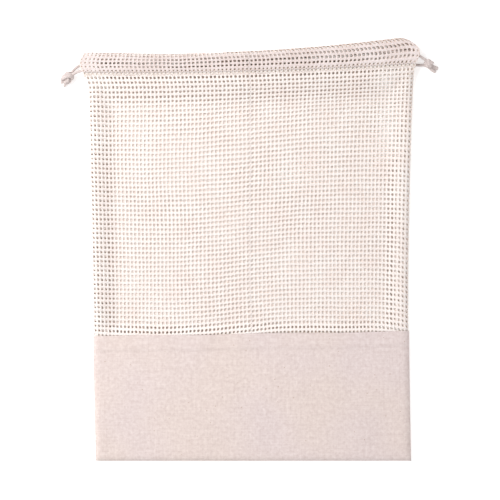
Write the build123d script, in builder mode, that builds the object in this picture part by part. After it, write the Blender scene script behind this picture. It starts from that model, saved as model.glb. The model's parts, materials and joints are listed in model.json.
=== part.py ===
"""A cotton mesh laundry bag, lying flat: net above, a canvas base below, and a casing with two drawcords.

X runs across the bag, Y runs up the bag to its mouth, and Z is up from the table that it lies on.
The origin is on the table, under the middle of the bag. All sizes are in millimetres.
"""

import os
from math import cos, pi, radians, sin, tan

from build123d import *

os.makedirs("parts", exist_ok=True)

# Cloth, thread and seams.
CLOTH = 0.9  # thickness of the net and of the canvas
THREAD = 0.5  # thickness of a row of stitches
STITCHED = 1.2  # width of the sewn line that holds the front and the back together
SEAM = 20.0  # width of a seam allowance, with its sewn line
GAP = 0.3  # clear space around everything that moves

# Outline of the bag, from the middle of its bottom edge.
BASE_WIDTH = 380.0
LEFT_LEAN = -0.0212  # how far each side edge moves in X for each millimetre up
RIGHT_LEAN = 0.0085
JOIN_HEIGHT = 154.0  # where the canvas meets the net, at mid width
JOIN_TILT = 0.9  # degrees

# The casing along the mouth, which lies a little askew.
CASING_X, CASING_Y = -4.25, 472.0  # the middle of its foot
CASING_TILT = 2.2  # degrees
CASING_HEIGHT = 28.0
CASING_HALF = 188.0  # half its length, where the cord's channel ends
MOUTH_HALF = 205.0  # half the whole mouth, with its loose corners
CORNER_ROUND = 6.0
HEM = 4.0  # height of the turned-under edge at the casing's foot
HEM_THICKNESS = 2.0
SHOULDER = 8.0  # how far above its foot the casing is fully thick
FOLD = 2.4  # radius of the fold along its top

# Levels above the table.
CORD = 3.4  # diameter
CASING_THICKNESS = CORD + 2 * GAP + 2 * CLOTH
MOUTH_GAP = 4.6  # between the two casings
FRONT = 7.2  # underside of the front layer, over the net and the canvas
FRONT_CASING = CASING_THICKNESS + MOUTH_GAP  # underside of the front casing
RISE = FRONT_CASING - FRONT  # how far the front net climbs to its casing
RISE_START = -40.0  # where that climb starts, measured up from the casing's foot
TOP = FRONT_CASING + CASING_THICKNESS

# Drawcords: each loop has one strand low in one casing and one high in the other.
LOW, HIGH = 9.5, 20.5  # heights of the strands above the casing's foot
BEND = 199.0  # where a loop turns back, from the middle of the mouth
BACK_CORD = CLOTH + GAP + CORD / 2
FRONT_CORD = FRONT_CASING + BACK_CORD
CHANNEL_END = 203.0  # where the strands turn towards their knot
KNOT_LONG, KNOT_ROUND = 8.0, 5.8  # half sizes of a knot

TILT_COS, TILT_SIN = cos(radians(CASING_TILT)), sin(radians(CASING_TILT))
REACH = 600.0  # past every edge of the bag

# The origin is under the middle of the bag's box.
MOUTH_TOP = CASING_Y + MOUTH_HALF * TILT_SIN + CASING_HEIGHT * TILT_COS
BASE = (CASING_HEIGHT * TILT_SIN / 2 - CASING_X, -MOUTH_TOP / 2)
FOOT = (BASE[0] + CASING_X, BASE[1] + CASING_Y)

# Flat on the table with the bag, flat on the table with the casing, and across the casing.
FLAT = Plane(origin=(*BASE, 0))
ALONG = Plane(origin=(*FOOT, 0), x_dir=(TILT_COS, TILT_SIN, 0), z_dir=(0, 0, 1))
ACROSS = Plane(origin=(*FOOT, 0), x_dir=(-TILT_SIN, TILT_COS, 0), z_dir=(TILT_COS, TILT_SIN, 0))

# Lines across the bag, each as its height at the middle of the base and its slope.
BOTTOM = (0.0, 0.0)
JOIN = (JOIN_HEIGHT, tan(radians(JOIN_TILT)))
CASING_SLOPE = tan(radians(CASING_TILT))
HEM_FOOT = (CASING_Y - CASING_X * CASING_SLOPE - HEM / TILT_COS, CASING_SLOPE)


def above(line, distance):
    """The same line across the bag, moved up."""
    return (line[0] + distance, line[1])


def corner(edge, line):
    """Where a side edge, as (side, distance inside it), meets a line across the bag."""
    side, inset = edge
    lean = LEFT_LEAN if side < 0 else RIGHT_LEAN
    x = side * (BASE_WIDTH / 2 - inset)
    y = (line[0] + x * line[1]) / (1 - lean * line[1])
    return (x + lean * y, y)


def patch(low, high, left=(-1, 0), right=(1, 0)):
    """The four corners of the cloth between two lines and two edges."""
    return [corner(left, low), corner(right, low), corner(right, high), corner(left, high)]


def strip(side, outer, inner):
    """The two edges of a strip along one side, from its distances inside that side."""
    return ((side, outer), (side, inner)) if side < 0 else ((side, inner), (side, outer))


def front_layer(low, high):
    """The section of a layer that is level over the bag and climbs to the front casing."""
    foot = [(-REACH, low), (RISE_START, low), (-HEM, low + RISE)]
    return foot + [(-HEM, high + RISE), (RISE_START, high), (-REACH, high)]


def save(piece, name):
    """Names a finished piece and writes it."""
    piece.part.label = name
    export_step(piece.part, f"parts/{name}.step")


# Net panels. The front one climbs to its casing at the top.
with BuildPart() as back_net_panel:
    with BuildSketch(FLAT):
        Polygon(*patch(JOIN, HEM_FOOT), align=None)
    extrude(amount=CLOTH)
save(back_net_panel, "back_net_panel")

with BuildPart() as front_net_panel:
    with BuildSketch(FLAT):
        Polygon(*patch(JOIN, HEM_FOOT), align=None)
    extrude(amount=TOP)
    with BuildSketch(ACROSS):
        Polygon(*front_layer(FRONT, FRONT + CLOTH), align=None)
    extrude(amount=REACH, both=True, mode=Mode.INTERSECT)
save(front_net_panel, "front_net_panel")

# Canvas panels.
for name, level in (("back_canvas_panel", 0), ("front_canvas_panel", FRONT)):
    with BuildPart() as canvas_panel:
        with BuildSketch(FLAT.offset(level)):
            Polygon(*patch(BOTTOM, JOIN), align=None)
        extrude(amount=CLOTH)
    save(canvas_panel, name)

# Casings: cloth tubes with a fold along the top and a thin foot, which the drawcords run through.
casing_section = [
    (0, 0),
    (CASING_HEIGHT, 0),
    (CASING_HEIGHT, CASING_THICKNESS),
    (SHOULDER, CASING_THICKNESS),
    (0, HEM_THICKNESS),
]
for name, level in (("back", 0), ("front", FRONT_CASING)):
    with BuildPart() as casing:
        with BuildSketch(ACROSS) as section:
            with Locations((0, level)):
                Polygon(*casing_section, align=None)
            fillet(section.vertices().group_by(Axis.X)[-1], radius=FOLD)
            offset(amount=-CLOTH, kind=Kind.INTERSECTION, mode=Mode.SUBTRACT)
        extrude(amount=CASING_HALF, both=True)
    save(casing, f"{name}_casing")

    with BuildPart() as hem:
        with BuildSketch(ALONG.offset(level)):
            with Locations((0, -HEM / 2)):
                Rectangle(2 * CASING_HALF, HEM)
        extrude(amount=HEM_THICKNESS)
    save(hem, f"{name}_casing_hem")

    with BuildPart() as hem_stitching:
        with BuildSketch(ALONG.offset(level + HEM_THICKNESS)):
            with Locations((0, -HEM / 2)):
                Rectangle(2 * CASING_HALF, THREAD)
        extrude(amount=THREAD)
    save(hem_stitching, f"{name}_casing_stitching")

# The mouth's loose corners: the end of each casing's outer wall, over and under the cords.
corner_length = MOUTH_HALF - CASING_HALF - GAP
corner_middle = MOUTH_HALF - corner_length / 2
for name, side in (("left", -1), ("right", 1)):
    with BuildPart() as mouth_corner:
        with BuildSketch(ALONG, ALONG.offset(TOP - CLOTH)) as flap:
            with Locations((side * corner_middle, CASING_HEIGHT / 2)):
                Rectangle(corner_length, CASING_HEIGHT)
            outer = flap.vertices().group_by(Axis.X)[-1 if side > 0 else 0]
            fillet(outer, radius=CORNER_ROUND)
        extrude(amount=CLOTH)
    save(mouth_corner, f"{name}_mouth_corner")

# Seam allowances, turned inside: one strip on the back layer and one under the front layer.
for name, side in (("left", -1), ("right", 1)):
    edges = strip(side, STITCHED, SEAM)
    with BuildPart() as net_allowance:
        with BuildSketch(FLAT):
            Polygon(*patch(JOIN, HEM_FOOT, *edges), align=None)
        extrude(amount=TOP)
        with BuildSketch(ACROSS):
            Polygon(*front_layer(FRONT - CLOTH, FRONT), align=None)
        extrude(amount=REACH, both=True, mode=Mode.INTERSECT)
        with BuildSketch(FLAT.offset(CLOTH)):
            Polygon(*patch(JOIN, HEM_FOOT, *edges), align=None)
        extrude(amount=CLOTH)
    save(net_allowance, f"{name}_net_seam_allowance")

    with BuildPart() as canvas_allowance:
        with BuildSketch(FLAT.offset(CLOTH), FLAT.offset(FRONT - CLOTH)):
            Polygon(*patch(above(BOTTOM, SEAM), above(JOIN, -SEAM), *edges), align=None)
        extrude(amount=CLOTH)
    save(canvas_allowance, f"{name}_canvas_seam_allowance")

inner_left, inner_right = (-1, STITCHED), (1, STITCHED)
with BuildPart() as bottom_seam_allowance:
    with BuildSketch(FLAT.offset(CLOTH), FLAT.offset(FRONT - CLOTH)):
        Polygon(*patch(above(BOTTOM, STITCHED), above(BOTTOM, SEAM), inner_left, inner_right), align=None)
    extrude(amount=CLOTH)
save(bottom_seam_allowance, "bottom_seam_allowance")

# The join of net and canvas: an allowance pressed towards the canvas, and a row of stitches.
for name, allowance_level, stitch_level in (
    ("back", CLOTH, CLOTH),
    ("front", FRONT - CLOTH, FRONT - THREAD),
):
    with BuildPart() as join_allowance:
        with BuildSketch(FLAT.offset(allowance_level)):
            Polygon(*patch(above(JOIN, -SEAM), JOIN, inner_left, inner_right), align=None)
        extrude(amount=CLOTH)
    save(join_allowance, f"{name}_join_seam_allowance")

    with BuildPart() as join_stitching:
        with BuildSketch(FLAT.offset(stitch_level)):
            Polygon(*patch(JOIN, above(JOIN, THREAD), (-1, SEAM), (1, SEAM)), align=None)
        extrude(amount=THREAD)
    save(join_stitching, f"{name}_join_stitching")

# Side and bottom stitching, which holds the front and the back layer together along the edges.
for name, side in (("left", -1), ("right", 1)):
    with BuildPart() as side_stitching:
        with BuildSketch(FLAT):
            Polygon(*patch(above(BOTTOM, STITCHED), HEM_FOOT, *strip(side, 0, STITCHED)), align=None)
        extrude(amount=TOP)
        with BuildSketch(ACROSS):
            Polygon(
                (-REACH, CLOTH),
                (-HEM, CLOTH),
                (-HEM, FRONT + RISE),
                (RISE_START, FRONT),
                (-REACH, FRONT),
                align=None,
            )
        extrude(amount=REACH, both=True, mode=Mode.INTERSECT)
    save(side_stitching, f"{name}_side_stitching")

with BuildPart() as bottom_stitching:
    with BuildSketch(FLAT.offset(CLOTH)):
        Polygon(*patch(BOTTOM, above(BOTTOM, STITCHED)), align=None)
    extrude(amount=FRONT - CLOTH)
save(bottom_stitching, "bottom_stitching")

# Backstitches on top of the front hem, where each side seam stops and the mouth slit begins.
backstitch_length = 8.0
for name, side in (("left", -1), ("right", 1)):
    with BuildPart() as backstitch:
        with BuildSketch(ALONG.offset(FRONT_CASING + HEM_THICKNESS)):
            with GridLocations(0, 2 * THREAD, 1, 2):
                with Locations((side * (CASING_HALF - backstitch_length / 2), -HEM / 2)):
                    Rectangle(backstitch_length, THREAD / 2)
        extrude(amount=THREAD)
    save(backstitch, f"{name}_slit_backstitch")


def corner_radii(route):
    """The arc at each corner: 0.45 of the shorter run, over the tangent of half the turn."""
    points = [Vector(*point) for point in route]
    runs = [end - start for start, end in zip(points, points[1:])]
    return [
        0.45 * min(a.length, b.length) / tan(radians(a.get_angle(b) / 2))
        for a, b in zip(runs, runs[1:])
    ]


# Drawcord loops, as (along, above the foot, above the table). The left one ties at the left.
left_route = [
    (-219.6, 0.6, 7.0),
    (-213.6, 6.0, 8.6),
    (-CHANNEL_END, LOW, FRONT_CORD),
    (BEND, LOW, FRONT_CORD),
    (BEND, HIGH, BACK_CORD),
    (-CHANNEL_END, HIGH, BACK_CORD),
    (-213.0, 11.5, 4.2),
    (-217.4, 4.6, 4.4),
]
right_route = [
    (216.6, 2.4, 8.0),
    (211.6, 10.2, 10.4),
    (CHANNEL_END, HIGH, FRONT_CORD),
    (-BEND, HIGH, FRONT_CORD),
    (-BEND, LOW, BACK_CORD),
    (CHANNEL_END, LOW, BACK_CORD),
    (211.4, 2.0, 4.0),
    (217.8, -1.6, 4.6),
]
for name, route in (("left", left_route), ("right", right_route)):
    radii = corner_radii(route)
    with BuildPart() as drawcord:
        with BuildLine(ALONG) as path:
            FilletPolyline(*route, radius=radii)
        with BuildSketch(Plane(origin=path.line @ 0, z_dir=path.line % 0)):
            Circle(CORD / 2)
        sweep()
    save(drawcord, f"{name}_drawcord")
    length = path.wire().length
    section_by_length = pi * CORD**2 / 4 * length
    print(name, "cord length", round(length, 1), "radii", [round(r, 1) for r in radii])
    print(name, "volume", round(drawcord.part.volume, 1), "section x length", round(section_by_length, 1))

# Knots, as plain rounded bodies, each with the two trimmed ends of its cord.
# Each knot is a middle and a heading in degrees, each cord end a start and a far point.
knots = {
    "left": ((-220.6, 1.0), 232, [(-223.6, -1.0), (-231.4, -3.4)], [(-222.6, -5.2), (-228.8, -12.0)]),
    "right": ((217.6, -0.4), -38, [(220.8, -1.0), (229.8, -2.6)], [(219.6, -5.2), (225.4, -12.2)]),
}
for name, ((x, y), heading, *ends) in knots.items():
    middle = ALONG.from_local_coords(Vector(x, y, KNOT_ROUND))
    long_way = Vector(1, 0, 0).rotate(Axis.Z, heading + CASING_TILT)
    with BuildPart() as knot:
        with BuildSketch(Plane(origin=middle, x_dir=long_way, z_dir=(0, 0, 1))):
            Ellipse(KNOT_LONG, KNOT_ROUND)
            with Locations((0, -KNOT_ROUND)):
                Rectangle(2 * KNOT_LONG, 2 * KNOT_ROUND, mode=Mode.SUBTRACT)
        revolve(axis=Axis(middle, long_way))
    save(knot, f"{name}_knot")

    with BuildPart() as cord_ends:
        for inner, outer in ends:
            start = ALONG.from_local_coords(Vector(*inner, CORD))
            finish = ALONG.from_local_coords(Vector(*outer, CORD / 2 + GAP))
            with BuildSketch(Plane(origin=start, z_dir=finish - start)):
                Circle(CORD / 2)
            extrude(amount=(finish - start).length)
    save(cord_ends, f"{name}_cord_ends")
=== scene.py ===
"""A cotton mesh laundry bag lying flat: net body, canvas base, casings and two knotted drawcords."""

import json
import math

import bpy
import numpy as np
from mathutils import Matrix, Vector


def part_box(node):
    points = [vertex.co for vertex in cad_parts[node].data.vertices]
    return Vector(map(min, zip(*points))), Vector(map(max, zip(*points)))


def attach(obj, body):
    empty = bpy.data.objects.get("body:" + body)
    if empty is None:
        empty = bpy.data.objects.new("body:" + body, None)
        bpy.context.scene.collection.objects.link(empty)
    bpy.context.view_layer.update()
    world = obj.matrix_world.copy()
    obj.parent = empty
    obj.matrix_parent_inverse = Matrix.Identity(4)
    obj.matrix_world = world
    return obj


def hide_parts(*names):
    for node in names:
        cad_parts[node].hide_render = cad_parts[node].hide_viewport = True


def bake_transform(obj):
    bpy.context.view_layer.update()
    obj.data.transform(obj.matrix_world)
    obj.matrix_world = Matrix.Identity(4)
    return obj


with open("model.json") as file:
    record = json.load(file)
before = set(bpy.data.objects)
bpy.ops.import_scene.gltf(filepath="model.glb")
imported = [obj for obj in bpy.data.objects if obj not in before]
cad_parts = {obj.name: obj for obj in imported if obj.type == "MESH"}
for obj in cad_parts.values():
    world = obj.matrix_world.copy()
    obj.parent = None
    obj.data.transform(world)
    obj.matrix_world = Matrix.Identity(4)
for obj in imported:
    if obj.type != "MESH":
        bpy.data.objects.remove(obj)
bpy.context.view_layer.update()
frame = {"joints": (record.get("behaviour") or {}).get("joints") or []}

MM = 0.001

# ------------------------ places from the frame

pull = next(j for j in frame["joints"] if j["name"] == "right_cord_pull")
ALONG = np.array(pull["axis"])  # along the casing, to the right
ACROSS = np.array([-ALONG[1], ALONG[0], 0.0])  # up the casing, towards the mouth
HEM = 4 * MM
hem_low, hem_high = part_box("front_casing_hem")
FOOT = np.array((hem_low + hem_high) / 2) + ACROSS * HEM / 2
FOOT[2] = 0.0

base_low, base_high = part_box("bottom_stitching")
BASE = np.array([(base_low.x + base_high.x) / 2, base_low.y, 0.0])
HALF_WIDTH = (base_high.x - base_low.x) / 2

FRONT_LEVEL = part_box("front_canvas_panel")[0].z  # underside of the front layer
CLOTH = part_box("back_canvas_panel")[1].z
CASING_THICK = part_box("back_casing")[1].z
FRONT_CASING_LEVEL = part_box("front_casing")[0].z
FRONT_HEM_LEVEL = hem_low.z + 1.1 * MM

# ------------------------ the outline, from the base's middle

SEAM_WIDTH = 20 * MM
CANVAS_HEIGHT = 0.154
MOUTH = 0.468  # about how far up the hem lies
# net meshes across the bag, and up to the hem from where the net ends inside the canvas
COLUMNS, ROWS = 82, 57
HIDDEN_ROWS = 1.3  # how many of them lie inside the canvas
CASING_ROWS = 5
NET_HALF_THICK = 0.5 * MM
SEAM_LEVEL = 3.6 * MM  # height at which the two layers are sewn together
SAG = 5.7 * MM  # how far the front net sinks between its seams


def left_edge(y):
    """The left side edge leans out steadily, by 10 mm up to the mouth, and bulges there by 3.5 mm."""
    return -HALF_WIDTH - 0.0212 * y - 3.5 * MM * ease((y - 0.450) / 0.022)


def right_edge(y):
    """The right side edge leans out by 4 mm and pulls in by 4.3 mm half way, as half a sine."""
    return HALF_WIDTH + 0.0085 * y - 0.0043 * np.sin(np.pi * np.clip(y / MOUTH, 0, 1))


def join_line(x):
    """The canvas ends on a line that climbs 0.9 degrees to the right and waves by half a millimetre."""
    return CANVAS_HEIGHT + 0.0157 * x + 0.5 * MM * np.sin(x * 38 + 1)


def hem_line(x):
    """The hem's middle climbs to the right and turns up at both ends, as a parabola."""
    return 0.470 + 0.028 * x + 0.09 * x * x


def casing_top(x):
    """The casing's fold climbs to the right and sags left of the middle, as a parabola."""
    return 0.4955 + 0.05 * x + 0.23 * x * x


def ease(t):
    """Goes from 0 to 1 with level ends, as 3 t squared less 2 t cubed."""
    t = np.clip(t, 0, 1)
    return t * t * (3 - 2 * t)


def ripple(x, y, seed, longest=0.16):
    """A smooth uneven surface: the sum of six sine waves that run in seeded directions, about -1 to 1."""
    rng = np.random.default_rng(seed)
    total = 0
    for k in range(6):
        heading, phase = rng.uniform(0, 2 * np.pi, 2)
        waves = 2 * np.pi / (longest * 0.72**k)
        total = total + 0.75**k * np.sin(waves * (x * np.cos(heading) + y * np.sin(heading)) + phase)
    return total / 2.2


def sewn(x, y):
    """How far a layer has lifted off its seams: 0 on a sewn edge and 1 well inside, as a quarter ellipse.
    The side seams stop at the mouth's slits, where the layers part."""
    width = 8 * MM
    inside = np.minimum(np.minimum(x - left_edge(y), right_edge(y) - x), y)
    lift = np.sqrt(1 - (1 - np.clip(inside / width, 0, 1)) ** 2)
    slit = ease((y - hem_line(x) + 22 * MM) / (20 * MM))
    return np.maximum(lift, slit)


def front_level(x, y):
    """Height of the front layer's middle: level over the bag, soft ripples, a climb to the casing and
    sewn edges."""
    climb = ease((y - hem_line(x) + 40 * MM) / (40 * MM))
    border = np.minimum(np.minimum(x - left_edge(y), right_edge(y) - x) / 26, (hem_line(x) - y) / 30)
    sunk = ease((border - 6 * MM / 26) / MM) * ease((y - join_line(x)) / (14 * MM))
    level = FRONT_LEVEL + CLOTH / 2 + 0.5 * MM * ripple(x, y, 11) * (1 - climb) * (1 - 0.75 * sunk)
    level = level - SAG * sunk
    level = level + climb * (FRONT_HEM_LEVEL - FRONT_LEVEL - CLOTH / 2)
    return SEAM_LEVEL + CLOTH / 2 + (level - SEAM_LEVEL - CLOTH / 2) * sewn(x, y)


def back_level(x, y):
    """Height of the back layer's middle: on the table, and up to the sewn edges."""
    level = CLOTH / 2 + 0.15 * MM + 0.1 * MM * ripple(x, y, 12)
    hem = ease((y - hem_line(x) + 12 * MM) / (12 * MM))
    level = level + hem * 0.5 * MM
    return SEAM_LEVEL - CLOTH / 2 + (level - SEAM_LEVEL + CLOTH / 2) * sewn(x, y)


def in_row_frame(x, y, z):
    """Points of the bag's own outline, moved to their place in the frame."""
    return np.stack([x + BASE[0], y + BASE[1], z], axis=-1)


def row_sway(s, t):
    """How far a row of meshes is pushed up. Going right, rows drop off the left seam, as an
    exponential; climb through the middle, as half a cosine wave; and drop again into the right seam.
    All this fades out at the hem."""
    drop_left = -3.9 * (1 - np.exp(-s / 0.08)) * ease((1 - t) / 0.45)
    climb = 5.1 * (1 - np.cos(np.pi * np.clip((s - 0.15) / 0.6, 0, 1))) * ease((1 - t) / 0.2)
    drop_right = -np.exp(-(1 - s) / 0.06) * (2.5 + 6.0 * (1 - t) ** 2) * ease((1 - t) / 0.15)
    return (drop_left + climb + drop_right) * MM


def net_plan(s, row, seed):
    """Where the net lies, seen from above. s runs 0 to 1 across and row counts meshes up from the net's
    lower edge. Rows sway as row_sway says, and both ways wave by half a millimetre or so. Columns are
    closer at the sides."""
    s = s - 0.0045 * np.sin(2 * np.pi * s)
    t = (row - HIDDEN_ROWS) / (ROWS - HIDDEN_ROWS)
    x = -HALF_WIDTH + 2 * HALF_WIDTH * s
    for _ in range(3):
        low, high = join_line(x), hem_line(x) - HEM / 2
        y = low + (high - low) * t
        x = left_edge(y) + (right_edge(y) - left_edge(y)) * s
    inner = np.clip(6 * (1 - t), 0, 1)
    side = np.clip(8 * s * (1 - s), 0, 1)
    y = y + row_sway(s, t) + 0.8 * MM * inner * ripple(x, y, seed, 0.2)
    x = x + 0.8 * MM * side * inner * ripple(x, y, seed + 1, 0.2)
    return x, y


# ------------------------ meshes from arrays


def new_mesh(name, points, faces, smooth=True, cells=None):
    """An object from an array of points and an array of four-cornered or three-cornered faces. cells,
    if given, are the net's own points: their place in the net, in meshes, goes into the UV map knit, and
    their distance from its middle into crown, 0 at a hole's edge and 1 on top of its threads."""
    mesh = bpy.data.meshes.new(name)
    corners = faces.shape[1]
    mesh.vertices.add(len(points))
    mesh.vertices.foreach_set("co", np.ascontiguousarray(points, np.float32).ravel())
    mesh.loops.add(faces.size)
    mesh.loops.foreach_set("vertex_index", np.ascontiguousarray(faces, np.int32).ravel())
    mesh.polygons.add(len(faces))
    mesh.polygons.foreach_set("loop_start", np.arange(0, faces.size, corners, dtype=np.int32))
    mesh.polygons.foreach_set("use_smooth", np.full(len(faces), smooth))
    if cells is not None:
        crown = mesh.attributes.new("crown", "FLOAT", "POINT")
        crown.data.foreach_set("value", np.abs(cells[:, 2]).astype(np.float32))
        knit = mesh.uv_layers.new(name="knit")
        knit.data.foreach_set("uv", cells[faces.ravel(), :2].astype(np.float32).ravel())
    mesh.update(calc_edges=True)
    mesh.validate()
    made = bpy.data.objects.new(name, mesh)
    bpy.context.scene.collection.objects.link(made)
    return made


def together(parts):
    """Joins several (points, faces) into one."""
    counts = np.cumsum([0] + [len(points) for points, _ in parts])
    points = np.concatenate([points for points, _ in parts])
    return points, np.concatenate([faces + start for (_, faces), start in zip(parts, counts)])


# half meshes, round one mesh
AROUND = np.array([(0, 0), (1, 0), (2, 0), (2, 1), (2, 2), (1, 2), (0, 2), (0, 1)])


def net_cells(columns, rows, rng, hole=(0.51, 0.40), closed=(True,) * 4, tight=None, lean=None):
    """The knitted net as one closed skin, in mesh units: (column, row, height from -1 to 1) and faces.
    Round each hole the skin runs from the thread's groove over its shoulder to the hole's edge, on top
    and below. closed thins the net's left, right, low and high border. tight gives each mesh's hole a
    share of its size, and lean how far the hole's top leans to the right."""
    wide, high = 2 * columns + 1, 2 * rows + 1
    a, b = np.meshgrid(np.arange(wide), np.arange(high), indexing="ij")
    grid = np.stack([a, b], -1) / 2
    grid = grid + rng.normal(0, 0.022, grid.shape)
    thick = np.where((a % 2 == 0) & (b % 2 == 0), 1.08, 0.78)
    for near, there in zip(closed, (a == 0, a == wide - 1, b == 0, b == high - 1)):
        thick = np.where(there & near, 0.3, thick)
    number = np.arange(wide * high).reshape(wide, high)

    i, j = (m.ravel() for m in np.meshgrid(np.arange(columns), np.arange(rows), indexing="ij"))
    loop = number[2 * i[:, None] + AROUND[:, 0], 2 * j[:, None] + AROUND[:, 1]]
    size = np.stack([np.full(i.size, hole[0]), hole[1] * (1 + 0.10 * (-1.0) ** j)], -1)
    size = size * rng.normal(1, 0.07, size.shape)
    if tight is not None:
        size = size * tight(i + 0.5, j + 0.5)[:, None]
    centre = np.stack([i + 0.5, j + 0.5], -1) + rng.normal(0, 0.022, (i.size, 2))
    way = (AROUND - 1) * np.where(np.abs(AROUND - 1).sum(1) == 2, 0.80, 1.0)[:, None] * size[:, None] / 2
    if lean is not None:
        way[..., 0] += way[..., 1] * lean(i + 0.5, j + 0.5)[:, None]
    edge = centre[:, None] + way
    shoulder = 0.52 * edge + 0.48 * grid.reshape(-1, 2)[loop]

    flat = grid.reshape(-1, 2)
    n, m = len(flat), i.size * 8
    points = np.concatenate(
        [
            np.column_stack([flat, thick.ravel()]),
            np.column_stack([flat, -thick.ravel()]),
            np.column_stack([shoulder.reshape(-1, 2), np.ones(m)]),
            np.column_stack([shoulder.reshape(-1, 2), -np.ones(m)]),
            np.column_stack([edge.reshape(-1, 2), np.zeros(m)]),
        ]
    )
    ring = np.arange(m).reshape(-1, 8)
    after = np.roll(ring, -1, axis=1)
    loop_after = np.roll(loop, -1, axis=1)
    top, low, rim = 2 * n, 2 * n + m, 2 * n + 2 * m
    faces = [
        np.stack([loop, loop_after, after + top, ring + top], -1),
        np.stack([ring + top, after + top, after + rim, ring + rim], -1),
        np.stack([loop_after + n, loop + n, ring + low, after + low], -1),
        np.stack([after + low, ring + low, ring + rim, after + rim], -1),
    ]
    faces = [f.reshape(-1, 4) for f in faces]
    return drop_unused(points, np.concatenate(faces + walls(number)))


def walls(number):
    """Faces that join the border of a numbered grid to the border of the same grid below it."""
    border = (number[0, ::-1], number[-1], number[:, 0], number[::-1, -1])
    below = number.size
    return [np.column_stack([a[1:], a[:-1], a[:-1] + below, a[1:] + below]) for a in border]


def drop_unused(points, faces):
    """Leaves out the points that no face uses."""
    used, renumbered = np.unique(faces, return_inverse=True)
    return points[used], renumbered.reshape(faces.shape)


def shell(place, across, up):
    """A thin closed sheet: its upper and lower skin on a grid of s and t, and walls round its border.
    place gives points from s, t and a side that is 1 above and -1 below."""
    s, t = np.meshgrid(np.linspace(0, 1, across + 1), np.linspace(0, 1, up + 1), indexing="ij")
    upper, lower = place(s, t, 1.0).reshape(-1, 3), place(s, t, -1.0).reshape(-1, 3)
    number = np.arange(upper.shape[0]).reshape(across + 1, up + 1)
    corners = (number[:-1, :-1], number[1:, :-1], number[1:, 1:], number[:-1, 1:])
    quads = np.stack(corners, -1).reshape(-1, 4)
    faces = [quads, quads[:, ::-1] + number.size] + walls(number)
    return np.concatenate([upper, lower]), np.concatenate(faces)


BLUNT = 0.35  # how far a tube's end stands out, in radii


def tube(path, radius, sides):
    """A closed tube round a path: rings square to it that turn as little as they can, each with its own
    radius, and a blunt point at both ends. Returns points and faces."""
    tangent = np.gradient(path, axis=0)
    tangent /= np.linalg.norm(tangent, axis=1)[:, None]
    side = np.zeros_like(path)
    side[0] = np.cross(tangent[0], [0, 0, 1.0] if abs(tangent[0][2]) < 0.9 else [1.0, 0, 0])
    for k in range(1, len(path)):
        side[k] = side[k - 1] - tangent[k] * (side[k - 1] @ tangent[k])
        side[k] /= np.linalg.norm(side[k])
    side[0] /= np.linalg.norm(side[0])
    other = np.cross(tangent, side)
    angle = np.arange(sides) / sides * 2 * np.pi
    spokes = side[:, None] * np.cos(angle)[:, None] + other[:, None] * np.sin(angle)[:, None]
    rings = path[:, None] + spokes * radius[:, None, None]
    number = np.arange(len(path) * sides).reshape(-1, sides)
    after = np.roll(number, -1, axis=1)
    faces = np.stack([number[:-1], after[:-1], after[1:], number[1:]], -1).reshape(-1, 4)
    n = number.size
    tips = (path[:1] - tangent[:1] * radius[0] * BLUNT, path[-1:] + tangent[-1:] * radius[-1] * BLUNT)
    first = np.column_stack([after[0], number[0], np.full(sides, n), np.full(sides, n)])
    last = np.column_stack([number[-1], after[-1], np.full(sides, n + 1), np.full(sides, n + 1)])
    return np.concatenate([rings.reshape(-1, 3), *tips]), np.concatenate([faces, first, last])


def triangles(faces):
    """Splits four-cornered faces, and leaves out the half of a cap that has no area."""
    both = np.concatenate([faces[:, [0, 1, 2]], faces[:, [0, 2, 3]]])
    return both[(both[:, 0] != both[:, 1]) & (both[:, 1] != both[:, 2]) & (both[:, 2] != both[:, 0])]


# ------------------------ materials


def linear(code):
    """An sRGB hex colour as linear red, green, blue and alpha."""
    parts = [int(code[k : k + 2], 16) / 255 for k in (1, 3, 5)]
    return [c / 12.92 if c <= 0.04045 else ((c + 0.055) / 1.055) ** 2.4 for c in parts] + [1.0]


def add(material, kind, inputs=(), **settings):
    """Adds a shader node with its settings. An input is a value, or a socket to link from."""
    made = material.node_tree.nodes.new("ShaderNode" + kind)
    for name, value in settings.items():
        setattr(made, name, value)
    for name, value in dict(inputs).items():
        if isinstance(value, bpy.types.NodeSocket):
            material.node_tree.links.new(value, made.inputs[name])
        else:
            made.inputs[name].default_value = value
    return made


SCALED_SUM = {"operation": "MULTIPLY_ADD"}  # the first input times the second, plus the third


def cotton(name, roughness, sheen):
    """A new material with its shader, which keeps what is the same all over cotton."""
    material = bpy.data.materials.new(name)
    material.use_nodes = True
    shader = material.node_tree.nodes["Principled BSDF"]
    shader.inputs["Roughness"].default_value = roughness
    shader.inputs["IOR"].default_value = 1.53
    shader.inputs["Specular IOR Level"].default_value = 0.25
    shader.inputs["Sheen Weight"].default_value = sheen
    shader.inputs["Sheen Roughness"].default_value = 0.5
    return material, shader


def tints(material, factor, *stops):
    """Colours in between sRGB stops, each a position and a hex code."""
    ramp = add(material, "ValToRGB", {"Fac": factor})
    while len(ramp.color_ramp.elements) < len(stops):
        ramp.color_ramp.elements.new(0.5)
    for element, (position, code) in zip(ramp.color_ramp.elements, stops):
        element.position = position
        element.color = linear(code)
    return ramp.outputs["Color"]


def put(material, shader, colour, height, strength, distance):
    """Gives the shader its colour, and its relief from a height pattern."""
    relief = add(material, "Bump", {"Strength": strength, "Distance": distance, "Height": height})
    material.node_tree.links.new(colour, shader.inputs["Base Color"])
    material.node_tree.links.new(relief.outputs["Normal"], shader.inputs["Normal"])


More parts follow.
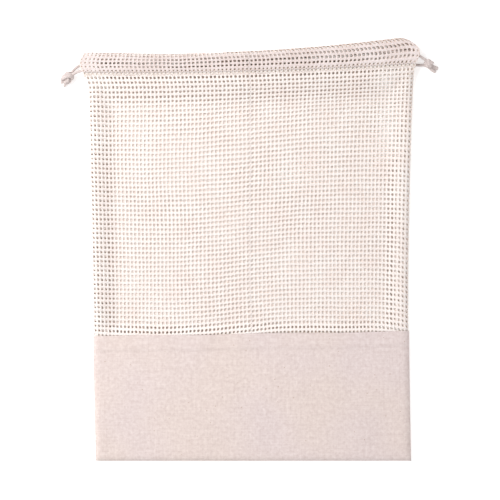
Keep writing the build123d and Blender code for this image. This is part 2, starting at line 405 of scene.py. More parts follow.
def undyed_net(name, dull, bright):
    """Undyed cotton yarn, spun and knitted into a net: matt, creamy, with soft fibres and a slight
    unevenness. Light passes through its yarns. The knit shows as slanted loops up the columns and
    twisted yarns across. Towards each hole's edge its colour turns a warm tan, painted shade in the holes."""
    material, shader = cotton(name, 0.92, 0.25)
    place = add(material, "TexCoord").outputs["Object"]
    patches = add(material, "TexNoise", {"Vector": place, "Scale": 1 / 0.03, "Detail": 3})
    cream = tints(material, patches.outputs["Fac"], (0.3, dull), (0.7, bright))
    # crown is 0 at a hole's edge and 1 on the threads' tops: towards the edges the colour is mixed to a
    # warm tan, painted shade in the holes.
    crown = add(material, "Attribute", attribute_name="crown", attribute_type="GEOMETRY").outputs["Fac"]
    span = {"Value": crown, "From Min": 0.0, "From Max": 0.75, "To Min": 1.0, "To Max": 0.0}
    painted_hole_shade = add(material, "MapRange", span).outputs["Result"]
    mixed = add(material, "Mix", {0: painted_hole_shade, 6: cream, 7: linear("#F4D8BF")}, data_type="RGBA")
    colour = mixed.outputs[2]
    shader.inputs["Subsurface Weight"].default_value = 0.45
    shader.inputs["Subsurface Radius"].default_value = (1.0, 1.0, 1.0)
    shader.inputs["Subsurface Scale"].default_value = 1.2 * MM
    grain = {"Vector": place, "Scale": 1 / 0.0007, "Detail": 3, "Roughness": 0.7}
    fibres = add(material, "TexNoise", grain)
    split = add(material, "SeparateXYZ", {"Vector": add(material, "UVMap", uv_map="knit").outputs["UV"]})
    beside = add(material, "Math", {0: split.outputs["X"], 1: 0.5}, operation="PINGPONG").outputs[0]
    above = add(material, "Math", {0: split.outputs["Y"], 1: 0.5}, operation="PINGPONG").outputs[0]
    yarns = []
    for along, count, away, slant in (("Y", 3.0, beside, 5.0), ("X", 2.0, above, 9.0)):
        run = add(material, "Math", {0: split.outputs[along], 1: count, 2: 0.0}, **SCALED_SUM)
        lean = add(material, "Math", {0: away, 1: slant, 2: run.outputs[0]}, **SCALED_SUM)
        turn = add(material, "Math", {0: lean.outputs[0], 1: 2 * math.pi}, operation="MULTIPLY")
        yarns.append(add(material, "Math", {0: turn.outputs[0]}, operation="SINE").outputs[0])
    upright = add(material, "Math", {0: beside, 1: above}, operation="LESS_THAN")
    yarn = add(material, "Mix", {0: upright.outputs[0], 2: yarns[1], 3: yarns[0]}, data_type="FLOAT")
    height = add(material, "Math", {0: yarn.outputs[0], 1: 0.5, 2: fibres.outputs["Fac"]}, **SCALED_SUM)
    put(material, shader, colour, height.outputs[0], 0.6, 0.35 * MM)
    return material


def calico():
    """Plain-woven unbleached cotton: threads 1.2 mm apart, thick and thin places along them, and seed
    flecks."""
    material, shader = cotton("unbleached_calico", 0.95, 0.2)
    place = add(material, "TexCoord").outputs["Object"]
    slubs = []
    for across, along in ((1 / 0.0016, 1 / 0.03), (1 / 0.03, 1 / 0.0016)):
        stretched = add(material, "Mapping", {"Vector": place, "Scale": (across, along, 1 / 0.004)})
        slub = add(material, "TexNoise", {"Vector": stretched.outputs[0], "Scale": 1.0, "Detail": 2})
        slubs.append(slub.outputs["Fac"])
    yarns = add(material, "Math", {0: slubs[0], 1: slubs[1]}, operation="ADD")
    cloud = add(material, "TexNoise", {"Vector": place, "Scale": 1 / 0.004, "Detail": 4, "Roughness": 0.65})
    broad = add(material, "TexNoise", {"Vector": place, "Scale": 1 / 0.11, "Detail": 1})
    clouds = add(material, "Math", {0: broad.outputs["Fac"], 1: 0.1, 2: cloud.outputs["Fac"]}, **SCALED_SUM)
    mixed = add(material, "Math", {0: yarns.outputs[0], 1: 0.16, 2: 0.0}, **SCALED_SUM)
    tone = add(material, "Math", {0: clouds.outputs[0], 1: 0.55, 2: mixed.outputs[0]}, **SCALED_SUM)
    warm = tints(material, tone.outputs[0], (0.35, "#D1C0BA"), (0.65, "#E9DBD5"))
    cool = tints(material, tone.outputs[0], (0.35, "#CFBEBB"), (0.65, "#E6D9D7"))
    faded = add(material, "MapRange", {"Value": broad.outputs["Fac"], "From Min": 0.38, "From Max": 0.62})
    ground = add(material, "Mix", {0: faded.outputs[0], 6: warm, 7: cool}, data_type="RGBA").outputs[2]
    seeds = add(material, "TexVoronoi", {"Vector": place, "Scale": 1 / 0.011, "Randomness": 1.0})
    fleck = add(material, "Math", {0: seeds.outputs["Distance"], 1: 0.05}, operation="LESS_THAN")
    colour = add(material, "Mix", {0: fleck.outputs[0], 6: ground, 7: linear("#B49A88")}, data_type="RGBA")
    weave = []
    for bands in ("X", "Y"):
        weave.append(add(material, "TexWave", {"Vector": place, "Scale": math.pi / 10 / 0.0012},
                         wave_type="BANDS", bands_direction=bands).outputs["Fac"])
    threads = add(material, "Math", {0: weave[0], 1: weave[1]}, operation="MULTIPLY")
    height = add(material, "Math", {0: yarns.outputs[0], 1: 0.8, 2: threads.outputs[0]}, **SCALED_SUM)
    put(material, shader, colour.outputs[2], height.outputs[0], 0.5, 0.25 * MM)
    return material


def braided_cord():
    """Undyed cotton cord, braided from soft yarns: a herring-bone of yarns 1.9 mm apart round it."""
    material, shader = cotton("undyed_braided_cord", 0.9, 0.25)
    place = add(material, "UVMap", uv_map="lay").outputs["UV"]
    split = add(material, "SeparateXYZ", {"Vector": place})
    slants = []
    for way in (1, -1):
        lean = add(material, "Math", {0: split.outputs["X"], 1: 4.0 * way, 2: 0.0}, **SCALED_SUM)
        run = add(material, "Math", {0: split.outputs["Y"], 1: 4.0, 2: lean.outputs[0]}, **SCALED_SUM)
        turn = add(material, "Math", {0: run.outputs[0], 1: 2 * math.pi}, operation="MULTIPLY")
        slants.append(add(material, "Math", {0: turn.outputs[0]}, operation="SINE").outputs[0])
    braid = add(material, "Math", {0: slants[0], 1: slants[1]}, operation="MAXIMUM")
    spot = add(material, "TexCoord").outputs["Object"]
    soft = add(material, "TexNoise", {"Vector": spot, "Scale": 1 / 0.0012, "Detail": 3})
    # The colour follows the braid a little and is darker between its yarns, painted shade in the braid's
    # grooves. The soft noise is the yarn's own uneven tone.
    tone = add(material, "Math", {0: braid.outputs[0], 1: 0.1, 2: soft.outputs["Fac"]}, **SCALED_SUM)
    colour = tints(material, tone.outputs[0], (0.3, "#BDAFAB"), (0.7, "#DACECB"))
    height = add(material, "Math", {0: braid.outputs[0], 1: 0.5, 2: soft.outputs["Fac"]}, **SCALED_SUM)
    put(material, shader, colour, height.outputs[0], 0.7, 0.4 * MM)
    return material


def sewing_thread():
    """Undyed polyester-cotton sewing thread, twisted, a little smoother than the cloth."""
    material, shader = cotton("undyed_sewing_thread", 0.75, 0.1)
    place = add(material, "TexCoord").outputs["Object"]
    twist = add(material, "TexNoise", {"Vector": place, "Scale": 1 / 0.0005, "Detail": 2})
    colour = tints(material, twist.outputs["Fac"], (0.3, "#EADFD3"), (0.7, "#F7F0E7"))
    put(material, shader, colour, twist.outputs["Fac"], 0.4, 0.1 * MM)
    return material


NET = undyed_net("undyed_cotton_net", "#F8EAE5", "#FCF1ED")
# The casing's net is the same cotton in darker tints: painted shade of the folded, layered cloth of the
# casing.
SHADED_CASING_NET = undyed_net("undyed_cotton_net_casing", "#E4D5D1", "#EEE2E0")
CALICO, CORD, THREAD = calico(), braided_cord(), sewing_thread()


def finish_piece(piece, material, stands_for):
    """Gives a piece its material, and hides the nodes that it stands for."""
    piece.data.materials.append(material)
    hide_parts(*stands_for)


# ------------------------ how the mouth gathers

# Pulling a cord draws the far corner of the mouth in. The cloth follows it wholly at that corner, and
# not at all from the middle of the mouth and the corner of the canvas on.
CORNER = CANVAS_HEIGHT + 3 * MM  # how far up the bag's sides stay put


def gather(piece, side):
    """Bakes a piece of the left (-1) or right (1) half in place. The way that half's cord would draw it in,
    from the mouth's middle towards the corner, is worked out but not used.
    """
    middle = BASE + np.array([0, casing_top(0.0), 0])
    edge = right_edge if side > 0 else left_edge
    corner = BASE + np.array([edge(CORNER), CORNER, 0])
    slope = corner - middle
    way = np.array([abs(slope[1]) * side, abs(slope[0]), 0.0])
    way = way / np.linalg.norm(way)
    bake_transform(piece)


SIDES = {"left": -1, "right": 1}

# ------------------------ camera, floor and light

VIEW_WIDTH = 0.605
CAMERA_HEIGHT = 2.4
scene = bpy.context.scene
camera = bpy.data.objects.new("camera", bpy.data.cameras.new("camera"))
scene.collection.objects.link(camera)
camera.location = (0.55 * MM, 1.4 * MM, CAMERA_HEIGHT)
camera.data.lens = camera.data.sensor_width * (CAMERA_HEIGHT - FRONT_LEVEL) / VIEW_WIDTH
camera.data.clip_end = 20
scene.camera = camera
scene.view_settings.view_transform = "Standard"

floor_material = bpy.data.materials.new("pale_floor")
floor_material.use_nodes = True
floor_shader = floor_material.node_tree.nodes["Principled BSDF"]
floor_shader.inputs["Base Color"].default_value = (0.93, 0.93, 0.93, 1)
floor_shader.inputs["Roughness"].default_value = 0.9
floor_shader.inputs["Specular IOR Level"].default_value = 0.1
floor_shader.inputs["Emission Color"].default_value = (1, 1, 1, 1)
floor_shader.inputs["Emission Strength"].default_value = 0.35
FLOOR_REACH = 6.0
floor_corners = FLOOR_REACH * np.array([[-1, -1, 0], [1, -1, 0], [1, 1, 0], [-1, 1, 0]])
floor = new_mesh("floor", floor_corners, np.array([[0, 1, 2, 3]]), smooth=False)
floor.location.z = -0.0002
floor.data.materials.append(floor_material)

world = bpy.data.worlds.new("studio")
scene.world = world
world.use_nodes = True
world.node_tree.nodes["Background"].inputs["Color"].default_value = (1, 1, 1, 1)
world.node_tree.nodes["Background"].inputs["Strength"].default_value = 0.73
LAMPS = (("key", (-1.0, 0.55, 1.25), 0.9, 21), ("fill", (1.6, -1.2, 2.2), 1.8, 2))  # place, size, watts
for name, place, size, power in LAMPS:
    lamp = bpy.data.lights.new(name, "AREA")
    lamp.size = size
    lamp.energy = power
    lamp_object = bpy.data.objects.new(name, lamp)
    lamp_object.location = place
    lamp_object.rotation_euler = (-Vector(place)).to_track_quat("-Z", "Y").to_euler()
    scene.collection.objects.link(lamp_object)

# ------------------------ drawcords

CORD_THICK = 3.4 * MM
FRONT_CORD, BACK_CORD = 13.3, 2.9
ROUTES = {  # along the casing, above its foot and above the table, in millimetres
    "left": [
        (-219.6, 0.6, 7.0), (-213.0, 5.4, 8.6), (-203.0, 7.4, FRONT_CORD), (-191.0, 9.5, FRONT_CORD),
        (184.0, 9.5, FRONT_CORD), (199.0, 9.5, FRONT_CORD), (199.0, 18.0, BACK_CORD),
        (184.0, 17.5, BACK_CORD), (-191.0, 17.5, BACK_CORD), (-203.0, 17.0, BACK_CORD),
        (-213.0, 11.0, 4.2), (-217.4, 4.6, 4.4),
    ],
    "right": [
        (216.6, 2.4, 8.0), (210.5, 6.4, 10.0), (201.0, 13.0, FRONT_CORD), (189.0, 17.0, FRONT_CORD),
        (-184.0, 17.5, FRONT_CORD), (-199.0, 18.0, FRONT_CORD), (-199.0, 9.5, BACK_CORD),
        (-184.0, 9.5, BACK_CORD), (189.0, 7.0, BACK_CORD), (200.0, -0.5, BACK_CORD),
        (210.5, -0.6, 3.8), (217.8, -1.6, 4.6),
    ],
}


def at_casing(point):
    """A point given along the casing, above its foot and above the table, in millimetres."""
    along, above, height = np.asarray(point, float) * MM
    return FOOT + ALONG * along + ACROSS * above + np.array([0, 0, height])


def smooth_route(name, points, spacing):
    """Evenly spaced points of the smooth line that a cord takes through its route."""
    curve = bpy.data.curves.new(name, "CURVE")
    curve.dimensions = "3D"
    spline = curve.splines.new("NURBS")
    spline.points.add(len(points) - 1)
    spline.points.foreach_set("co", np.column_stack([points, np.ones(len(points))]).ravel())
    spline.order_u = 3
    spline.use_endpoint_u = True
    spline.resolution_u = 24
    holder = bpy.data.objects.new(name, curve)
    line = bpy.data.meshes.new_from_object(holder)
    found = np.empty(len(line.vertices) * 3)
    line.vertices.foreach_get("co", found)
    found = found.reshape(-1, 3)
    bpy.data.objects.remove(holder)
    far = np.concatenate([[0], np.cumsum(np.linalg.norm(np.diff(found, axis=0), axis=1))])
    at = np.linspace(0, far[-1], max(2, round(far[-1] / spacing)))
    return np.stack([np.interp(at, far, found[:, k]) for k in range(3)], -1), far[-1]


def wound(piece, sides, around):
    """A UV map called lay for tubes of the same number of sides: once round is 1, and along in the same
    scale."""
    mesh = piece.data
    corners = np.empty(len(mesh.loops), np.int32)
    mesh.loops.foreach_get("vertex_index", corners)
    starts = np.empty(len(mesh.polygons), np.int32)
    mesh.polygons.foreach_get("loop_start", starts)
    totals = np.empty(len(mesh.polygons), np.int32)
    mesh.polygons.foreach_get("loop_total", totals)
    ring, spoke = corners // sides, (corners % sides).astype(float)
    face = np.repeat(np.arange(len(starts)), totals)
    most = np.zeros(len(starts))
    np.maximum.at(most, face, spoke)
    wrap = (most[face] == sides - 1) & (spoke == 0)
    uv = np.column_stack([(spoke + sides * wrap) / sides, around[np.clip(ring, 0, len(around) - 1)]])
    layer = mesh.uv_layers.new(name="lay")
    layer.data.foreach_set("uv", uv.astype(np.float32).ravel())
    return piece


def cord_radius(path, seed):
    """The cord's radius along it, which varies by a few per cent, as soft cord does."""
    far = np.linalg.norm(np.diff(path, axis=0, prepend=path[:1]), axis=1).cumsum()
    rng = np.random.default_rng(seed)
    lengths, phases = (0.004, 0.009, 0.021), rng.uniform(0, 6, 3)
    waves = sum(np.sin(far / length + phase) for length, phase in zip(lengths, phases))
    return CORD_THICK / 2 * (1 + 0.02 * waves), far


def make_tube_piece(name, paths, sides, seed, plump=1.0):
    """One piece from one or more cords, each a closed tube, with their map. plump thickens them."""
    parts, along = [], []
    for k, path in enumerate(paths):
        radius, far = cord_radius(path, seed + k)
        points, faces = tube(path, radius * plump, sides)
        spare = -len(points) % sides
        points = np.concatenate([points, np.repeat(points[-1:], spare, axis=0)])
        parts.append((points, faces))
        along.append(np.concatenate([far, np.full(len(points) // sides - len(far), far[-1])]))
    points, faces = together(parts)
    piece = new_mesh(name, points, triangles(faces))
    return wound(piece, sides, np.concatenate(along) / (math.pi * CORD_THICK))


def knot_line(centre, heading, tilt, size, share):
    """An overhand knot: part of the line that goes twice round an upright ring while it winds three
    times through it. A point is at (ring + through x cos 3t) out from the middle at the angle 2t, and
    through x sin 3t across. The ring stands along the heading, pressed down to tilt of its height."""
    ring, through = size
    t = np.linspace(share[0], share[1], 120) * 2 * np.pi
    out = ring + through * np.cos(3 * t)
    flat = np.stack([out * np.cos(2 * t), 1.5 * through * np.sin(3 * t), out * np.sin(2 * t) * tilt], -1)
    cos, sin = np.cos(heading), np.sin(heading)
    turn = np.array([[cos, -sin, 0], [sin, cos, 0], [0, 0, 1]])
    return flat @ turn.T + centre


KNOTS = {  # middle, heading, tilt, ring and winding radius, the part of the line that is used
    "left": ((-221.3, -0.2, 7.4), math.radians(228), 0.62, (4.6 * MM, 2.6 * MM), (0.03, 0.97)),
    "right": ((217.0, 0.0, 6.6), math.radians(-30), 0.62, (3.2 * MM, 1.8 * MM), (0.05, 0.95)),
}
ENDS = {  # the trimmed ends: start and far point, along the casing, above its foot and above the table
    "left": [[(-223.6, -2.0, 4.6), (-226.5, -3.4, 3.8), (-229.4, -5.2, 2.6)],
             [(-221.6, -4.6, 4.6), (-223.6, -7.0, 3.6), (-226.0, -9.6, 2.5)]],
    "right": [[(219.0, -1.6, 4.6), (222.6, -4.0, 3.8), (227.4, -5.4, 2.8)],
              [(217.6, -4.0, 4.6), (220.4, -7.4, 3.6), (224.6, -9.6, 2.8)]],
}

SIDES_OF_CORD = 14
KNOT_PLUMP = 1.12  # pulled tight, a knot's cord bulges
END_PLUMP = {"left": 1.05, "right": 1.3}  # and a trimmed end frays
STRAND_GAP = 1.5 * MM
for name in ROUTES:
    route = [at_casing(point) for point in ROUTES[name]]
    line, length = smooth_route(f"{name}_route", route, 1.6 * MM)
    drawcord = make_tube_piece(f"{name}_cord_loop", [line], SIDES_OF_CORD, 31)
    finish_piece(drawcord, CORD, [f"{name}_drawcord"])
    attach(drawcord, f"{name}_cord")

    middle, heading, tilt, size, share = KNOTS[name]
    knotted = knot_line(at_casing(middle), heading, tilt, size, share)
    away = np.gradient(knotted, axis=0)
    beside = np.cross(away, knotted - at_casing(middle))
    beside /= np.linalg.norm(beside, axis=1)[:, None]
    strands = [knotted + beside * STRAND_GAP * way for way in (-1, 1)]
    knot = make_tube_piece(f"{name}_overhand_knot", strands, SIDES_OF_CORD, 41, KNOT_PLUMP)
    finish_piece(knot, CORD, [f"{name}_knot"])
    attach(knot, f"{name}_cord")

    stubs = []
    for k, end in enumerate(ENDS[name]):
        stub, _ = smooth_route(f"{name}_end_{k}", [at_casing(point) for point in end], 1.0 * MM)
        stubs.append(stub)
    ends = make_tube_piece(f"{name}_trimmed_ends", stubs, SIDES_OF_CORD, 51, END_PLUMP[name])
    finish_piece(ends, CORD, [f"{name}_cord_ends"])
    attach(ends, f"{name}_cord")

    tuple(route[2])

# ------------------------ net panels


def half_span(side):
    """The first and last column of a half."""
    half = COLUMNS // 2
    return (0, half) if side < 0 else (half, COLUMNS)


def leaning(s, row):
    """How far the net's holes lean: with its rows, six times as much as those climb or fall."""
    step = 0.2 / COLUMNS
    x0, y0 = net_plan(s - step, row, 101)
    x1, y1 = net_plan(s + step, row, 101)
    return np.clip(6 * (y1 - y0) / (x1 - x0), -0.9, 0.6)


def net_piece(name, side, seed, rows, place, low=False, tight=None, lean=None):
    """A net of half the bag's width: its cells, laid by place(share across, row, height)."""
    first, last = half_span(side)
    rng = np.random.default_rng(seed)
    closeness = None if tight is None else lambda column, row: tight((column + first) / COLUMNS, row)
    slant = None if lean is None else lambda column, row: lean((column + first) / COLUMNS, row)
    border = (side < 0, side > 0, low, False)
    cells, faces = net_cells(last - first, rows, rng, closed=border, tight=closeness, lean=slant)
    points = place((cells[:, 0] + first) / COLUMNS, cells[:, 1], cells[:, 2] * NET_HALF_THICK)
    return new_mesh(name, points, faces, cells=cells)


def lay_net(level, seed, phase, inward):
    """A rule that lays net cells on the front or back level. phase shifts the meshes off the other
    layer's by that part of a mesh, inside the seams. What lies past the join sits inside the canvas."""

    def place(s, row, height):
        fade = 1 - 0.6 * ease((row / ROWS - 0.25) / 0.35)
        drift = phase * fade * ease((row - HIDDEN_ROWS) / 2) * ease((ROWS - row) / 4)
        across = phase * ease((s * COLUMNS - 4.6) / 2) * ease(((1 - s) * COLUMNS - 5) / 10)
        x, y = net_plan(s + across / COLUMNS, row + drift, seed)
        inside = 1.2 * MM * inward * ease((join_line(x) - y) / (1.5 * MM))
        return in_row_frame(x, y, level(x, y) + inside + height)

    return place


NET_LAYERS = (("front", front_level, 101, 0.0, -1), ("back", back_level, 202, 0.5, 1))
sheets = {}
for name, side in SIDES.items():
    for layer, level, seed, phase, inward in NET_LAYERS:
        place = lay_net(level, seed, phase, inward)
        piece = net_piece(f"{layer}_net_{name}", side, seed + side, ROWS, place, low=True, lean=leaning)
        finish_piece(piece, NET, [f"{layer}_net_panel"])
        gather(piece, side)
        sheets[layer, name] = piece

# ------------------------ casings and hems

SHOULDER = 0.6
CASING_HEIGHT = 24 * MM
CASING_LEFT, CASING_RIGHT = -0.2065, 0.1955  # where its ends lie at the hem
ROUNDED = 14 * MM  # how much of each end is rounded
HEM_HOLE = (0.24, 0.20)


def casing_lift(angle, thick):
    """Height of the casing's cloth above its middle: the sine of the angle to the power SHOULDER,
    either way."""
    return np.sign(np.sin(angle)) * np.abs(np.sin(angle)) ** SHOULDER / 2 * thick


def casing_section(share, top, thick):
    """Once round the casing's cloth from its hem over the fold and back: an ellipse with fuller
    shoulders, which leave room for the cords, measured evenly along it. Returns the share of the
    height, the height above the middle, and the outward direction."""
    angle = np.linspace(0, 2 * np.pi, 721)
    y = (1 - np.cos(angle)) / 2 * top
    z = casing_lift(angle, thick)
    far = np.concatenate([[0], np.cumsum(np.hypot(np.diff(y), np.diff(z)))])
    a = np.interp(share * far[-1], far, angle)
    out_y, out_z = -np.cos(a) * thick, np.sin(a) * top
    size = np.hypot(out_y, out_z)
    return (1 - np.cos(a)) / 2, casing_lift(a, thick), out_y / size, out_z / size


def lay_casing(middle, rise, seed):
    """A rule that lays net cells round a casing. Its ends stand out past the bag's sides and are
    rounded."""

    def place(s, row, height):
        share = row / (2 * CASING_ROWS)
        up, lift, out_y, out_z = casing_section(share, CASING_HEIGHT, CASING_THICK - 2 * NET_HALF_THICK)
        x_left = CASING_LEFT - 0.004 * np.sin(np.pi * np.clip(up, 0, 1)) + 0.0005 * up**2
        x_right = CASING_RIGHT + 0.0065 * np.sin(np.pi * np.clip(up * 0.9, 0, 1)) - 0.010 * up**3
        x = x_left + (x_right - x_left) * s
        low = hem_line(x) + HEM / 2
        high = casing_top(x) + rise(x)
        end = np.clip(1 - np.minimum(x - x_left, x_right - x) / ROUNDED, 0, 1)
        high = high - np.where(x < 0, 1.8, 4.5) * MM * end**2
        y = low + (high - low) * up + 0.7 * MM * ripple(x, up * 0.02, seed, 0.12) * up * (1 - up) * 4
        pleats = 0.3 * MM * np.sin(2 * np.pi * s * COLUMNS / 1.6) * end * np.sign(lift)
        z = middle + (lift + pleats) * (1 - 0.12 * end) + 0.12 * MM * ripple(x, y, seed + 2, 0.09)
        return in_row_frame(x, y + out_y * height, z + out_z * height)

    return place


def casing_tightness(s, row):
    """The holes close up where the casing's left end is bunched, over six columns, at its very right
    end, and next to the hem."""
    left = ease((s * COLUMNS - 2.5) / 3.5)
    right = ease(((1 - s) * COLUMNS - 0.5) / 2)
    above_hem = ease((CASING_ROWS - np.abs(row - CASING_ROWS)) / 2.2)
    return (0.3 + 0.7 * left * right) * (0.55 + 0.6 * above_hem)


CASINGS = {
    "front": (FRONT_CASING_LEVEL + CASING_THICK / 2, lambda x: -3.0 * MM * ease((-x - 0.02) / 0.08), 303),
    "back": (CASING_THICK / 2 + 0.1 * MM, lambda x: 0.4 * MM + 0 * x, 404),
}
for layer, (middle, rise, seed) in CASINGS.items():
    for name, side in SIDES.items():
        place = lay_casing(middle, rise, seed)
        piece = net_piece(f"{layer}_casing_{name}", side, seed + side, 2 * CASING_ROWS, place,
                          tight=casing_tightness)
        stands_for = [f"{layer}_casing"] + ([f"{name}_mouth_corner"] if layer == "front" else [])
        finish_piece(piece, SHADED_CASING_NET, stands_for)
        gather(piece, side)
        sheets[f"{layer}_casing", name] = piece


HEM_TILT = 3.0 * MM  # how much higher the front hem's upper edge lies than its lower one


def lay_hem(level, seed, drop):
    """A rule that lays a turned-under strip of net along the hem."""

    def place(s, row, height):
        x = left_edge(MOUTH) - 3 * MM + (right_edge(MOUTH) - left_edge(MOUTH) + 5 * MM) * s
        up = row - 0.42
        y = hem_line(x) + up * HEM * 1.4 + 0.25 * MM * ripple(x, 0 * x, seed, 0.05)
        tilt = up * HEM_TILT * (level > CASING_THICK)
        return in_row_frame(x, y, level - drop + height + tilt)

    return place


HEM_LEVELS = {"front": FRONT_HEM_LEVEL + 0.2 * MM, "back": 1.1 * MM}
for layer, level in HEM_LEVELS.items():
    for name, side in SIDES.items():
        parts, nets = [], []
        first, last = half_span(side)
        for k, (shift, drop) in enumerate(((0.0, -0.35 * MM), (0.5, 0.45 * MM))):
            rng = np.random.default_rng(500 + k + side)
            cells, faces = net_cells(last - first, 1, rng, HEM_HOLE)
            place = lay_hem(level, 510 + k, drop)
            share = np.clip((cells[:, 0] + first + shift * (side < 0)) / COLUMNS, 0, 1)
            parts.append((place(share, cells[:, 1], cells[:, 2] * NET_HALF_THICK), faces))
            nets.append(cells)
        piece = new_mesh(f"{layer}_hem_{name}", *together(parts), cells=np.concatenate(nets))
        finish_piece(piece, NET, [f"{layer}_casing_hem"])
        gather(piece, side)

# ------------------------ canvas base


RIDGE = 0.9 * MM  # how much the join's allowance lifts the canvas
CANVAS_HALF_THICK = 0.32 * MM


def lay_canvas(level, seed, direction):
    """A rule that lays the canvas, with the ridge of the seam allowance under it below the join."""

    def place(s, t, side):
        x = left_edge(0.0) + (right_edge(0.0) - left_edge(0.0)) * s
        for _ in range(2):
            y = join_line(x) * t
            x = left_edge(y) - 1.2 * MM + (right_edge(y) - left_edge(y) + 2.2 * MM) * s
        ridge = ease((y - join_line(x) + 19.0 * MM) / (2.0 * MM)) * direction * RIDGE
        soft = 0.35 * MM * ripple(x, y, seed, 0.11)
        edge = sewn(x, y)
        z = level(x, y) + (ridge + soft * max(direction, 0)) * edge
        return in_row_frame(x, y, z + side * CANVAS_HALF_THICK)

    return place


for layer, level, seed, direction in (("front", front_level, 61, 1), ("back", back_level, 62, 0)):
    points, faces = shell(lay_canvas(level, seed, direction), 190, 78)
    canvas = new_mesh(f"{layer}_canvas", points, faces)
    finish_piece(canvas, CALICO, [f"{layer}_canvas_panel"])
    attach(canvas, "root")
    sheets[layer, "canvas"] = canvas

# ------------------------ seam allowances, turned inside

INNER = 1.05 * MM  # how far inside its panel an allowance lies
FOLD = 1.5 * MM  # how far in from the seam it begins
BAND_COLUMNS = 4
STRIP_HALF_THICK = 0.3 * MM
BOTH_INSIDES = ((front_level, -INNER), (back_level, INNER))


def side_net_allowance(side, seed):
    """The front and back layer's net allowances along one side: four columns of net, inside each layer."""
    parts, nets = [], []
    for (level, inward), layer_seed in zip(BOTH_INSIDES, (101, 202)):
        rng = np.random.default_rng(seed + layer_seed)
        cells, faces = net_cells(BAND_COLUMNS, ROWS - 2, rng)
        share = (cells[:, 0] * 1.05 + 0.1) / COLUMNS
        s = share if side < 0 else 1 - share
        x, y = net_plan(s, cells[:, 1] + 1.8, layer_seed)
        points = in_row_frame(x, y, level(x, y) + inward * sewn(x, y) + cells[:, 2] * NET_HALF_THICK)
        parts.append((points, faces if side < 0 else faces[:, ::-1]))
        nets.append(cells)
    return (*together(parts), np.concatenate(nets))


def cloth_strip(side):
    """The front and back canvas allowances along one side, between the bottom's and the join's: each a
    thin closed strip."""
    low, high = SEAM_WIDTH, CANVAS_HEIGHT - SEAM_WIDTH
    parts = []
    for level, inward in BOTH_INSIDES:

        def place(s, t, face):
            y = low + (high - low) * t
            edge = left_edge(y) if side < 0 else -right_edge(y)
            x = (edge + FOLD + (SEAM_WIDTH - FOLD) * s) * (1 if side < 0 else -1)
            tuck = 0.3 * MM * ripple(x, y, 77, 0.03)
            return in_row_frame(x, y, level(x, y) + (inward + tuck) * sewn(x, y) + face * STRIP_HALF_THICK)

        points, faces = shell(place, 12, 60)
        parts.append((points, faces if side < 0 else faces[:, ::-1]))
    return together(parts)


for name, side in SIDES.items():
    points, faces, cells = side_net_allowance(side, 71)
    piece = new_mesh(f"{name}_net_allowance", points, faces, cells=cells)
    finish_piece(piece, NET, [f"{name}_net_seam_allowance"])
    gather(piece, side)

    piece = new_mesh(f"{name}_canvas_allowance", *cloth_strip(side))
    finish_piece(piece, CALICO, [f"{name}_canvas_seam_allowance"])
    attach(piece, "root")


def level_strip(low, high, levels):
    """Thin closed strips right across the bag, between two heights that are functions of x."""
    parts = []
    for level, inward in levels:

        def place(s, t, face):
            x = (left_edge(0.0) + 2 * MM) * (1 - s) + (right_edge(0.0) - 2 * MM) * s
            y = low(x) + (high(x) - low(x)) * t
            x = (left_edge(y) + 2 * MM) * (1 - s) + (right_edge(y) - 2 * MM) * s
            return in_row_frame(x, y, level(x, y) + inward * sewn(x, y) + face * STRIP_HALF_THICK)

        parts.append(shell(place, 120, 12))
    return together(parts)


def strip_piece(name, stands_for, low, high, levels):
    """One piece of those strips, which rides on the bag."""
    piece = new_mesh(name, *level_strip(low, high, levels))
    finish_piece(piece, CALICO, [stands_for])
    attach(piece, "root")


strip_piece("bottom_allowance", "bottom_seam_allowance",
            lambda x: FOLD + 0 * x, lambda x: SEAM_WIDTH + 0 * x, BOTH_INSIDES)
for layer, inside in zip(("front", "back"), BOTH_INSIDES):
    strip_piece(f"{layer}_join_allowance", f"{layer}_join_seam_allowance",
                lambda x: join_line(x) - SEAM_WIDTH, lambda x: join_line(x) - 0.3 * MM, (inside,))

# ------------------------ stitching

STITCH_LENGTH, STITCH_STEP, STITCH_THICK = 2.3 * MM, 3.0 * MM, 0.5 * MM


def stitches(line, up=(0, 0, 1.0), seed=0):
    """Stitches along a line: each a short closed six-sided tube that bends down into the cloth at both
    ends."""
    far = np.concatenate([[0], np.cumsum(np.linalg.norm(np.diff(line, axis=0), axis=1))])
    rng = np.random.default_rng(seed)
    count = int(np.ceil((far[-1] - STITCH_STEP / 2) / STITCH_STEP))
    middles = np.arange(STITCH_STEP / 2, far[-1], STITCH_STEP) + rng.normal(0, 0.08 * MM, count)
    parts = []
    for middle in middles:
        at = middle + np.array([-0.5, -0.3, 0.3, 0.5]) * STITCH_LENGTH
        path = np.stack([np.interp(at, far, line[:, k]) for k in range(3)], -1)
        path += np.outer([-0.35, 0.12, 0.12, -0.35], up) * MM
        points, faces = tube(path, np.array([0.6, 1, 1, 0.6]) * STITCH_THICK / 2, 6)
        parts.append((points, triangles(faces)))
    return together(parts)


def stitch_piece(name, line, stands_for, side=0, up=(0, 0, 1.0), seed=0):
    """A row of stitches that rides on the bag, or, on one half of it, is baked in place by gather."""
    piece = new_mesh(name, *stitches(line, up, seed))
    finish_piece(piece, THREAD, stands_for)
    if side:
        gather(piece, side)
    else:
        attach(piece, "root")


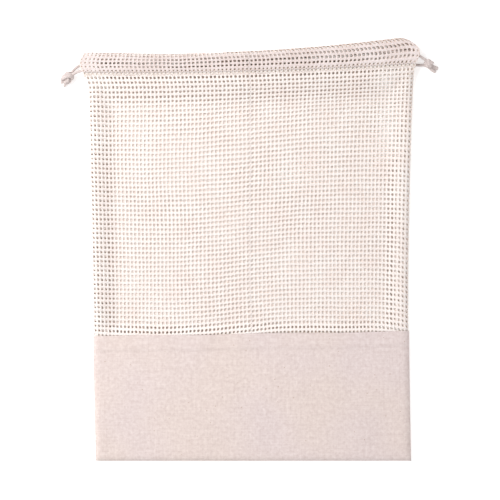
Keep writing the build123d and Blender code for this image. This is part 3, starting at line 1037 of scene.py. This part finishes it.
steps = np.linspace(0, 1, 240)
for name, side in SIDES.items():
    x = steps * (right_edge(MOUTH) if side > 0 else left_edge(MOUTH))
    for layer, level in HEM_LEVELS.items():
        height = level + (1.0 if layer == "front" else 0.9) * MM
        line = in_row_frame(x, hem_line(x), np.full_like(x, height))
        stitch_piece(f"{layer}_hem_stitches_{name}", line, [f"{layer}_casing_stitching"], side, seed=5)
    y = 1.5 * MM + steps * (MOUTH - 1.5 * MM)
    edge = left_edge(y) + 0.8 * MM if side < 0 else right_edge(y) - 0.8 * MM
    climb = ease((y - MOUTH + 20 * MM) / (20 * MM)) * 3 * MM
    line = in_row_frame(edge, y, SEAM_LEVEL + climb)
    stitch_piece(f"{name}_side_stitches", line, [f"{name}_side_stitching"], side, (-side, 0, 0), 6)
    tacks = []
    for k in range(2):
        tack_x = edge[-1] - side * (1.0 + steps[:40] * 30) * MM
        tack_y = np.full(40, y[-1] - 1.2 * MM + k * 0.8 * MM)
        tack = in_row_frame(tack_x, tack_y, np.full(40, FRONT_HEM_LEVEL + 1.0 * MM))
        tacks.append(stitches(tack, seed=7 + k))
    piece = new_mesh(f"{name}_slit_backstitches", *together(tacks))
    finish_piece(piece, THREAD, [f"{name}_slit_backstitch"])
    gather(piece, side)

x = left_edge(0.0) + 2 * MM + steps * (right_edge(0.0) - left_edge(0.0) - 4 * MM)
line = in_row_frame(x, np.full_like(x, 0.9 * MM), np.full_like(x, SEAM_LEVEL))
stitch_piece("bottom_stitches", line, ["bottom_stitching"], up=(0, -1.0, 0), seed=8)
for layer, level, way in (("front", front_level, -1), ("back", back_level, 1)):
    y = join_line(x) + 0.6 * MM
    line = in_row_frame(x, y, level(x, y) + way * 0.75 * MM)
    stitch_piece(f"{layer}_join_stitches", line, [f"{layer}_join_stitching"], up=(0, 0, float(way)), seed=9)

# ------------------------ what each cloth was cut to

for (what, name), piece in sheets.items():
    if name in SIDES and what in ("front", "back"):
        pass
    elif name == "canvas":
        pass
    elif what.endswith("_casing"):
        layer = what.split("_")[0]
